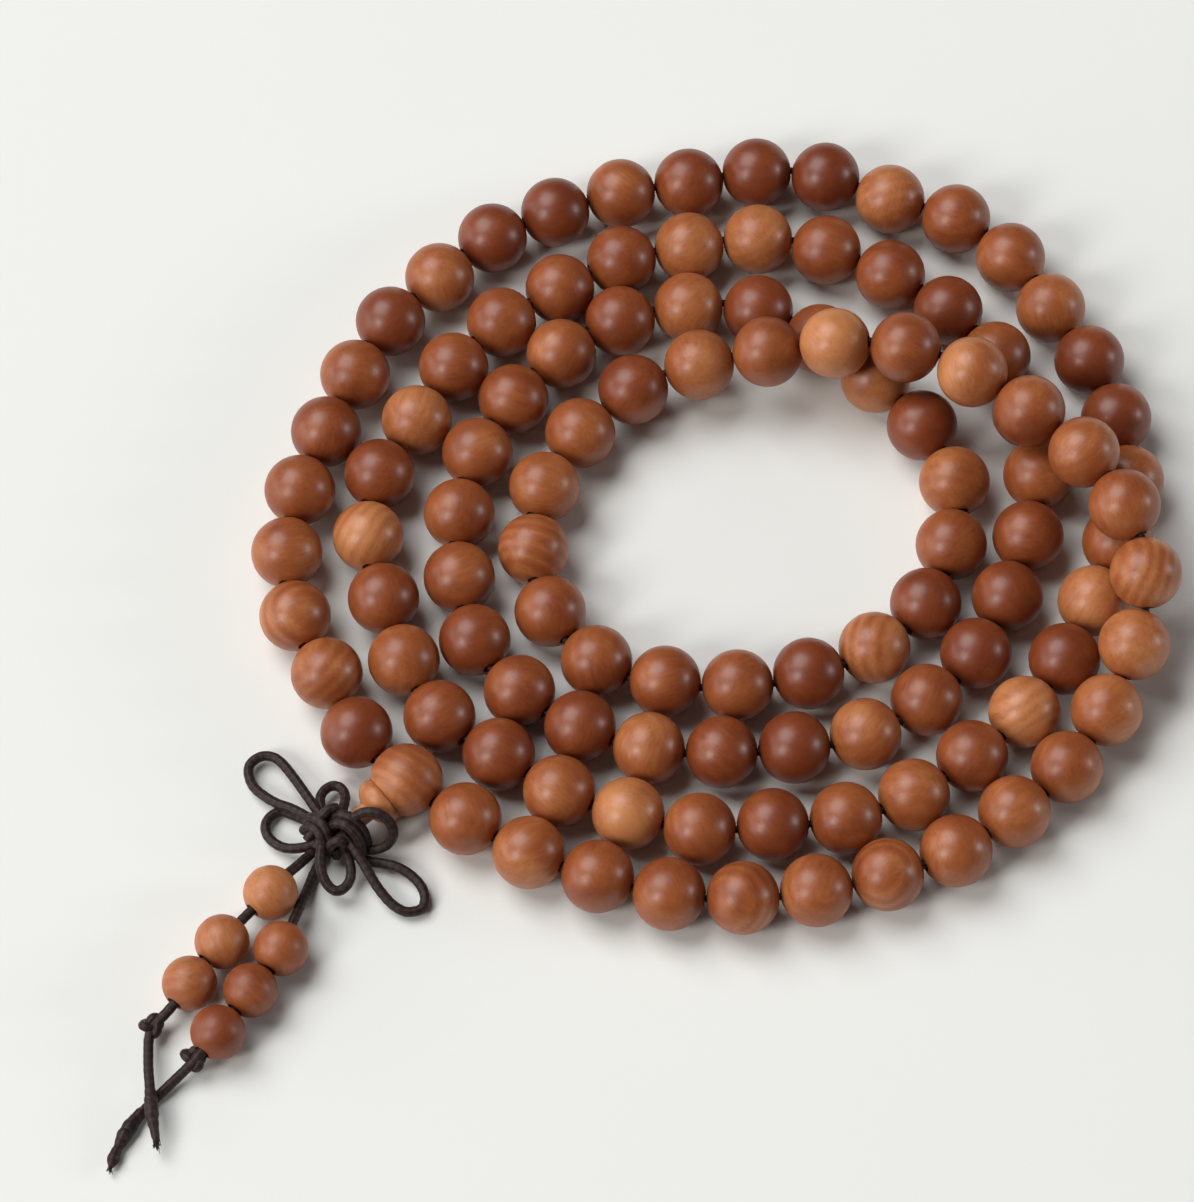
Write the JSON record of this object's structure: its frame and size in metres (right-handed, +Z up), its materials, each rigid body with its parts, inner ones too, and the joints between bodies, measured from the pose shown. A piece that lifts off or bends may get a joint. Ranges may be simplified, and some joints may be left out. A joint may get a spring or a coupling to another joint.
{
  "type": "prayer beads",
  "caption": "String of round wood prayer beads laid down in a coil of four turns, with a guru bead, a tower bead, and a looped knot whose two tails carry small beads.",
  "frame": {"origin": "on the table under the middle of the bead coil, measured without the tassel", "axes": "+Z up from the table; the tassel points towards -X and -Y"},
  "size_m": [0.1151, 0.1238, 0.0158],
  "materials": {
    "sandalwood": "satin, polished by handling",
    "pale_sandalwood": "satin, paler, with clearer grain",
    "waxed_cord": "dark brown waxed round cord"
  },
  "bodies": {
    "strand": {"strand_cord": "waxed_cord", "bead_run_021_029": "sandalwood", "bead_run_030_038": "sandalwood", "bead_run_039_047": "sandalwood", "bead_run_048_056": "sandalwood", "bead_run_057_065": "sandalwood", "bead_run_066_074": "sandalwood", "bead_run_075_083": "sandalwood", "bead_run_084_092": "sandalwood"},
    "bead_001": {"bead_001": "sandalwood"},
    "bead_002": {"bead_002": "sandalwood"},
    "bead_003": {"bead_003": "sandalwood"},
    "bead_004": {"bead_004": "sandalwood"},
    "bead_005": {"bead_005": "sandalwood"},
    "bead_006": {"bead_006": "sandalwood"},
    "bead_007": {"bead_007": "sandalwood"},
    "bead_008": {"bead_008": "sandalwood"},
    "bead_009": {"bead_009": "sandalwood"},
    "bead_010": {"bead_010": "sandalwood"},
    "bead_011": {"bead_011": "sandalwood"},
    "bead_012": {"bead_012": "sandalwood"},
    "bead_013": {"bead_013": "sandalwood"},
    "bead_014": {"bead_014": "sandalwood"},
    "bead_015": {"bead_015": "sandalwood"},
    "bead_016": {"bead_016": "sandalwood"},
    "bead_017": {"bead_017": "sandalwood"},
    "bead_018": {"bead_018": "sandalwood"},
    "bead_019": {"bead_019": "sandalwood"},
    "bead_020": {"bead_020": "sandalwood"},
    "bead_093": {"bead_093": "sandalwood"},
    "bead_094": {"bead_094": "sandalwood"},
    "bead_095": {"bead_095": "sandalwood"},
    "bead_096": {"bead_096": "sandalwood"},
    "bead_097": {"bead_097": "sandalwood"},
    "bead_098": {"bead_098": "sandalwood"},
    "bead_099": {"bead_099": "sandalwood"},
    "bead_100": {"bead_100": "sandalwood"},
    "bead_101": {"bead_101": "sandalwood"},
    "bead_102": {"bead_102": "sandalwood"},
    "bead_103": {"bead_103": "sandalwood"},
    "bead_104": {"bead_104": "sandalwood"},
    "bead_105": {"bead_105": "sandalwood"},
    "bead_106": {"bead_106": "sandalwood"},
    "bead_107": {"bead_107": "sandalwood"},
    "bead_108": {"bead_108": "sandalwood"},
    "guru": {"guru_bead": "pale_sandalwood", "tower_cord": "waxed_cord"},
    "tower": {"tower_bead": "pale_sandalwood"},
    "bow": {"bow_knot": "waxed_cord"},
    "tail_left": {"tail_left_cord": "waxed_cord"},
    "tail_right": {"tail_right_cord": "waxed_cord"},
    "left_bead_1": {"left_bead_1": "pale_sandalwood"},
    "left_bead_2": {"left_bead_2": "pale_sandalwood"},
    "left_bead_3": {"left_bead_3": "pale_sandalwood"},
    "right_bead_1": {"right_bead_1": "pale_sandalwood"},
    "right_bead_2": {"right_bead_2": "pale_sandalwood"},
    "right_bead_3": {"right_bead_3": "pale_sandalwood"}
  },
  "joints": [
    {"name": "bead_001_turn", "type": "hinge", "parent": "strand", "child": "bead_001", "pos_m": [-0.03891, -0.02574, 0.00395], "axis": [-0.5729, 0.8196, 0.0032], "continuous": true},
    {"name": "bead_002_turn", "type": "hinge", "parent": "strand", "child": "bead_002", "pos_m": [-0.0423, -0.01859, 0.00395], "axis": [-0.4439, 0.8961, 0], "continuous": true},
    {"name": "bead_003_turn", "type": "hinge", "parent": "strand", "child": "bead_003", "pos_m": [-0.04593, -0.01156, 0.00395], "axis": [-0.3043, 0.9526, 0], "continuous": true},
    {"name": "bead_004_turn", "type": "hinge", "parent": "strand", "child": "bead_004", "pos_m": [-0.04705, -0.00373, 0.00395], "axis": [0.0072, 1, 0], "continuous": true},
    {"name": "bead_005_turn", "type": "hinge", "parent": "strand", "child": "bead_005", "pos_m": [-0.04582, 0.00408, 0.00395], "axis": [0.2536, 0.9673, 0], "continuous": true},
    {"name": "bead_006_turn", "type": "hinge", "parent": "strand", "child": "bead_006", "pos_m": [-0.04306, 0.01149, 0.00395], "axis": [0.3693, 0.9293, 0], "continuous": true},
    {"name": "bead_007_turn", "type": "hinge", "parent": "strand", "child": "bead_007", "pos_m": [-0.03998, 0.01878, 0.00395], "axis": [0.4392, 0.8984, 0], "continuous": true},
    {"name": "bead_008_turn", "type": "hinge", "parent": "strand", "child": "bead_008", "pos_m": [-0.03612, 0.02568, 0.00395], "axis": [0.5949, 0.8038, 0], "continuous": true},
    {"name": "bead_009_turn", "type": "hinge", "parent": "strand", "child": "bead_009", "pos_m": [-0.03064, 0.03139, 0.00395], "axis": [0.7226, 0.6913, 0], "continuous": true},
    {"name": "bead_010_turn", "type": "hinge", "parent": "strand", "child": "bead_010", "pos_m": [-0.0247, 0.03661, 0.00395], "axis": [0.8349, 0.5504, 0], "continuous": true},
    {"name": "bead_011_turn", "type": "hinge", "parent": "strand", "child": "bead_011", "pos_m": [-0.01756, 0.04002, 0.00395], "axis": [0.9273, 0.3744, 0], "continuous": true},
    {"name": "bead_012_turn", "type": "hinge", "parent": "strand", "child": "bead_012", "pos_m": [-0.01006, 0.04252, 0.00395], "axis": [0.9688, 0.2477, 0], "continuous": true},
    {"name": "bead_013_turn", "type": "hinge", "parent": "strand", "child": "bead_013", "pos_m": [-0.00227, 0.04392, 0.00395], "axis": [0.9845, 0.1756, 0], "continuous": true},
    {"name": "bead_014_turn", "type": "hinge", "parent": "strand", "child": "bead_014", "pos_m": [0.00552, 0.0453, 0.00395], "axis": [0.9987, 0.0514, 0], "continuous": true},
    {"name": "bead_015_turn", "type": "hinge", "parent": "strand", "child": "bead_015", "pos_m": [0.01341, 0.04473, 0.00395], "axis": [0.9742, -0.2258, 0], "continuous": true},
    {"name": "bead_016_turn", "type": "hinge", "parent": "strand", "child": "bead_016", "pos_m": [0.02074, 0.04177, 0.00395], "axis": [0.9359, -0.3524, 0], "continuous": true},
    {"name": "bead_017_turn", "type": "hinge", "parent": "strand", "child": "bead_017", "pos_m": [0.02821, 0.03916, 0.00395], "axis": [0.868, -0.4966, 0], "continuous": true},
    {"name": "bead_018_turn", "type": "hinge", "parent": "strand", "child": "bead_018", "pos_m": [0.03424, 0.03404, 0.00395], "axis": [0.6608, -0.7505, 0], "continuous": true},
    {"name": "bead_019_turn", "type": "hinge", "parent": "strand", "child": "bead_019", "pos_m": [0.03855, 0.02741, 0.00395], "axis": [0.5303, -0.8478, 0], "continuous": true},
    {"name": "bead_020_turn", "type": "hinge", "parent": "strand", "child": "bead_020", "pos_m": [0.04263, 0.02063, 0.00395], "axis": [0.4301, -0.9028, 0], "continuous": true},
    {"name": "bead_093_turn", "type": "hinge", "parent": "strand", "child": "bead_093", "pos_m": [0.03504, 0.01024, 0.01106], "axis": [0.7544, -0.6559, 0.0277], "continuous": true},
    {"name": "bead_094_turn", "type": "hinge", "parent": "strand", "child": "bead_094", "pos_m": [0.04076, 0.00479, 0.01148], "axis": [0.6274, -0.7771, 0.05], "continuous": true},
    {"name": "bead_095_turn", "type": "hinge", "parent": "strand", "child": "bead_095", "pos_m": [0.04488, -0.00195, 0.01185], "axis": [0.4058, -0.9079, -0.1049], "continuous": true},
    {"name": "bead_096_turn", "type": "hinge", "parent": "strand", "child": "bead_096", "pos_m": [0.04705, -0.00929, 0.00986], "axis": [0.0552, -0.9412, -0.3333], "continuous": true},
    {"name": "bead_097_turn", "type": "hinge", "parent": "strand", "child": "bead_097", "pos_m": [0.04573, -0.01643, 0.00672], "axis": [-0.2847, -0.9028, -0.3223], "continuous": true},
    {"name": "bead_098_turn", "type": "hinge", "parent": "strand", "child": "bead_098", "pos_m": [0.04259, -0.02344, 0.00481], "axis": [-0.488, -0.8549, -0.1762], "continuous": true},
    {"name": "bead_099_turn", "type": "hinge", "parent": "strand", "child": "bead_099", "pos_m": [0.03806, -0.02987, 0.00395], "axis": [-0.6612, -0.7482, -0.0547], "continuous": true},
    {"name": "bead_100_turn", "type": "hinge", "parent": "strand", "child": "bead_100", "pos_m": [0.03221, -0.03519, 0.00395], "axis": [-0.7782, -0.628, 0], "continuous": true},
    {"name": "bead_101_turn", "type": "hinge", "parent": "strand", "child": "bead_101", "pos_m": [0.02577, -0.03978, 0.00395], "axis": [-0.882, -0.4712, 0], "continuous": true},
    {"name": "bead_102_turn", "type": "hinge", "parent": "strand", "child": "bead_102", "pos_m": [0.01837, -0.04258, 0.00395], "axis": [-0.9558, -0.2942, 0], "continuous": true},
    {"name": "bead_103_turn", "type": "hinge", "parent": "strand", "child": "bead_103", "pos_m": [0.01068, -0.04443, 0.00395], "axis": [-0.985, -0.1723, 0], "continuous": true},
    {"name": "bead_104_turn", "type": "hinge", "parent": "strand", "child": "bead_104", "pos_m": [0.00282, -0.0453, 0.00395], "axis": [-0.9997, -0.0264, 0], "continuous": true},
    {"name": "bead_105_turn", "type": "hinge", "parent": "strand", "child": "bead_105", "pos_m": [-0.00508, -0.04485, 0.00395], "axis": [-0.9873, 0.1588, 0], "continuous": true},
    {"name": "bead_106_turn", "type": "hinge", "parent": "strand", "child": "bead_106", "pos_m": [-0.01272, -0.0428, 0.00395], "axis": [-0.9513, 0.3082, 0], "continuous": true},
    {"name": "bead_107_turn", "type": "hinge", "parent": "strand", "child": "bead_107", "pos_m": [-0.02011, -0.03997, 0.00395], "axis": [-0.9026, 0.4304, 0], "continuous": true},
    {"name": "bead_108_turn", "type": "hinge", "parent": "strand", "child": "bead_108", "pos_m": [-0.02695, -0.03601, 0.00395], "axis": [-0.8391, 0.544, -0.0032], "continuous": true},
    {"name": "guru_turn", "type": "hinge", "parent": "strand", "child": "guru", "pos_m": [-0.03337, -0.03138, 0.0039], "axis": [-0.7585, 0.6517, 0], "range_deg": [0, 90]},
    {"name": "tower_turn", "type": "hinge", "parent": "guru", "child": "tower", "pos_m": [-0.03724, -0.03446, 0.0032], "axis": [-0.775, -0.6165, -0.1392], "continuous": true},
    {"name": "tassel_swing", "type": "hinge", "parent": "guru", "child": "bow", "pos_m": [-0.03871, -0.03563, 0.00294], "axis": [0, 0, 1], "range_deg": [-6, 4]},
    {"name": "tail_left_swing", "type": "hinge", "parent": "bow", "child": "tail_left", "pos_m": [-0.04389, -0.03935, 0.0016], "axis": [0, 0, 1], "range_deg": [-20, 0]},
    {"name": "tail_right_swing", "type": "hinge", "parent": "bow", "child": "tail_right", "pos_m": [-0.04259, -0.03935, 0.00065], "axis": [0, 0, 1], "range_deg": [0, 20]},
    {"name": "left_bead_1_slide", "type": "slide", "parent": "tail_left", "child": "left_bead_1", "axis": [-0.6602, -0.751, -0.0106], "range_m": [0, 0.0013]},
    {"name": "left_bead_2_turn", "type": "hinge", "parent": "tail_left", "child": "left_bead_2", "pos_m": [-0.05279, -0.04995, 0.00295], "axis": [-0.6124, -0.7905, 0], "continuous": true},
    {"name": "left_bead_3_turn", "type": "hinge", "parent": "tail_left", "child": "left_bead_3", "pos_m": [-0.05609, -0.05475, 0.00295], "axis": [-0.5421, -0.8403, 0.0033], "continuous": true},
    {"name": "right_bead_1_turn", "type": "hinge", "parent": "tail_right", "child": "right_bead_1", "pos_m": [-0.04649, -0.05075, 0.00295], "axis": [-0.4511, -0.8924, -0.0129], "continuous": true},
    {"name": "right_bead_2_turn", "type": "hinge", "parent": "tail_right", "child": "right_bead_2", "pos_m": [-0.04959, -0.05555, 0.00295], "axis": [-0.5648, -0.8252, 0], "continuous": true},
    {"name": "right_bead_3_turn", "type": "hinge", "parent": "tail_right", "child": "right_bead_3", "pos_m": [-0.05289, -0.06035, 0.00295], "axis": [-0.5661, -0.8242, 0.0119], "continuous": true}
  ]
}
